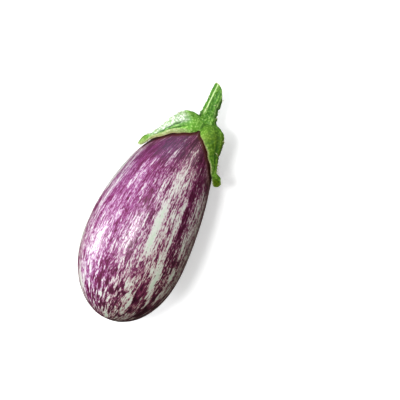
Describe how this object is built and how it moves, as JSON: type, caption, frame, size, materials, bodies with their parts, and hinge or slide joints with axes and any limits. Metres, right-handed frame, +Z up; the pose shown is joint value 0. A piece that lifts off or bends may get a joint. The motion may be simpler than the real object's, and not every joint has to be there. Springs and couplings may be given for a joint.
{
  "type": "eggplant",
  "caption": "Striped purple and cream eggplant, egg-shaped and lying on its side, with a green lobed calyx and a short cut stem.",
  "frame": {"origin": "middle of the small flat spot on the fruit's underside, where it rests", "axes": "+X along the fruit towards the stem, +Z up, +Y to the left seen from the blossom end"},
  "size_m": [0.1896, 0.0801, 0.0807],
  "materials": {
    "skin": "glossy waxy skin, purple streaks along pale greenish cream",
    "calyx": "matt puckered leafy green, paler at the margins",
    "stem": "matt ribbed green, pale where it is cut"
  },
  "bodies": {
    "root": {"fruit": "skin", "calyx": "calyx", "stem": "stem"}
  },
  "joints": []
}
